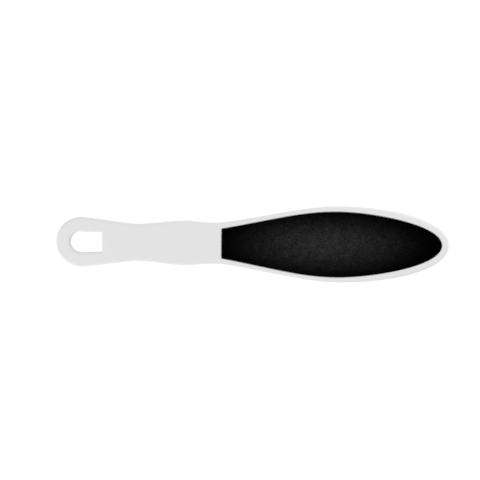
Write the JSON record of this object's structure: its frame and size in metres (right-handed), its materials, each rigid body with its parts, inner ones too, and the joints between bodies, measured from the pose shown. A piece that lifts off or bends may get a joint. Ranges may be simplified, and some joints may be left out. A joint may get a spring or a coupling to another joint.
{
  "type": "foot file",
  "caption": "Paddle-shaped foot file: a moulded handle with a hang hole and a leaf-shaped blade, with an abrasive sheet bonded into a rimmed recess in each face.",
  "frame": {"origin": "centre of the footprint, on the plane that the rear face rests on", "axes": "+X from the handle's end towards the blade's tip, +Y across the blade, +Z out of the coarse front face"},
  "size_m": [0.26, 0.0506, 0.006],
  "materials": {
    "white_plastic": "satin injection moulding",
    "adhesive_film": "tacky acrylic film",
    "sheet_backing": "resin-filled paper",
    "coarse_grit": "coarse abrasive grains in black resin",
    "fine_grit": "fine abrasive grains in black resin"
  },
  "bodies": {
    "root": {"handle_body": "white_plastic", "front_adhesive": "adhesive_film", "front_backing": "sheet_backing", "front_grit": "coarse_grit", "rear_adhesive": "adhesive_film", "rear_backing": "sheet_backing", "rear_grit": "fine_grit"}
  },
  "joints": []
}
